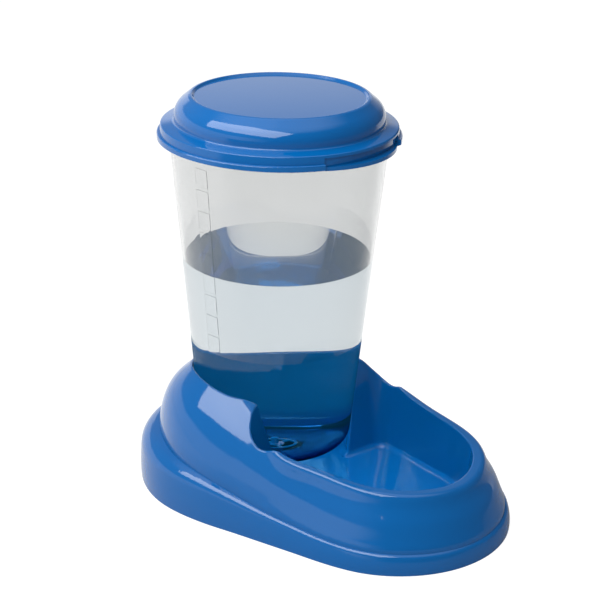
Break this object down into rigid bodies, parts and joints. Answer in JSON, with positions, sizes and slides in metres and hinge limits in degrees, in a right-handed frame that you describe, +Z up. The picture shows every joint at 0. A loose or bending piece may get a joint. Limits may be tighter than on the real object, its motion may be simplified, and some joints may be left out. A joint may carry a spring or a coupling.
{
  "type": "pet water dispenser",
  "caption": "Gravity pet water dispenser: domed base with a drinking bowl in front, a clear tapered tank standing in a round cradle, a press-on lid with a thumb tab, and an outlet valve.",
  "frame": {"origin": "middle of the footprint on the surface it stands on", "axes": "+Y from the drinking bowl to the tank, along the longest side; +Z up; X is the width, with the symmetry plane at x = 0"},
  "size_m": [0.1984, 0.2935, 0.288],
  "materials": {
    "blue_plastic": "glossy moulded plastic",
    "clear_plastic": "clear polished moulded plastic",
    "seal_rubber": "matt silicone rubber",
    "foot_rubber": "matt rubber",
    "spring_steel": "drawn stainless wire"
  },
  "bodies": {
    "base": {"base_shell": "blue_plastic", "foot_front_left": "foot_rubber", "foot_front_right": "foot_rubber", "foot_rear_left": "foot_rubber", "foot_rear_right": "foot_rubber"},
    "tank_unit": {"tank": "clear_plastic", "outlet_cap": "blue_plastic", "outlet_seal": "seal_rubber", "valve_guide": "blue_plastic", "valve_spring": "spring_steel"},
    "lid_unit": {"lid": "blue_plastic", "lid_gasket": "seal_rubber"},
    "valve": {"valve_poppet": "blue_plastic", "valve_seal": "seal_rubber"}
  },
  "joints": [
    {"name": "tank_lift", "type": "slide", "parent": "base", "child": "tank_unit", "axis": [0, 0, 1], "range_m": [0, 0.1]},
    {"name": "lid_lift", "type": "slide", "parent": "tank_unit", "child": "lid_unit", "axis": [0, 0, 1], "range_m": [0, 0.05]},
    {"name": "valve_slide", "type": "slide", "parent": "tank_unit", "child": "valve", "axis": [0, 0, 1], "range_m": [-0.004, 0], "deforming": ["valve_spring"]}
  ],
  "couplings": [
    {"joint": "valve_slide", "follows": "tank_lift", "ratio": -0.04}
  ]
}
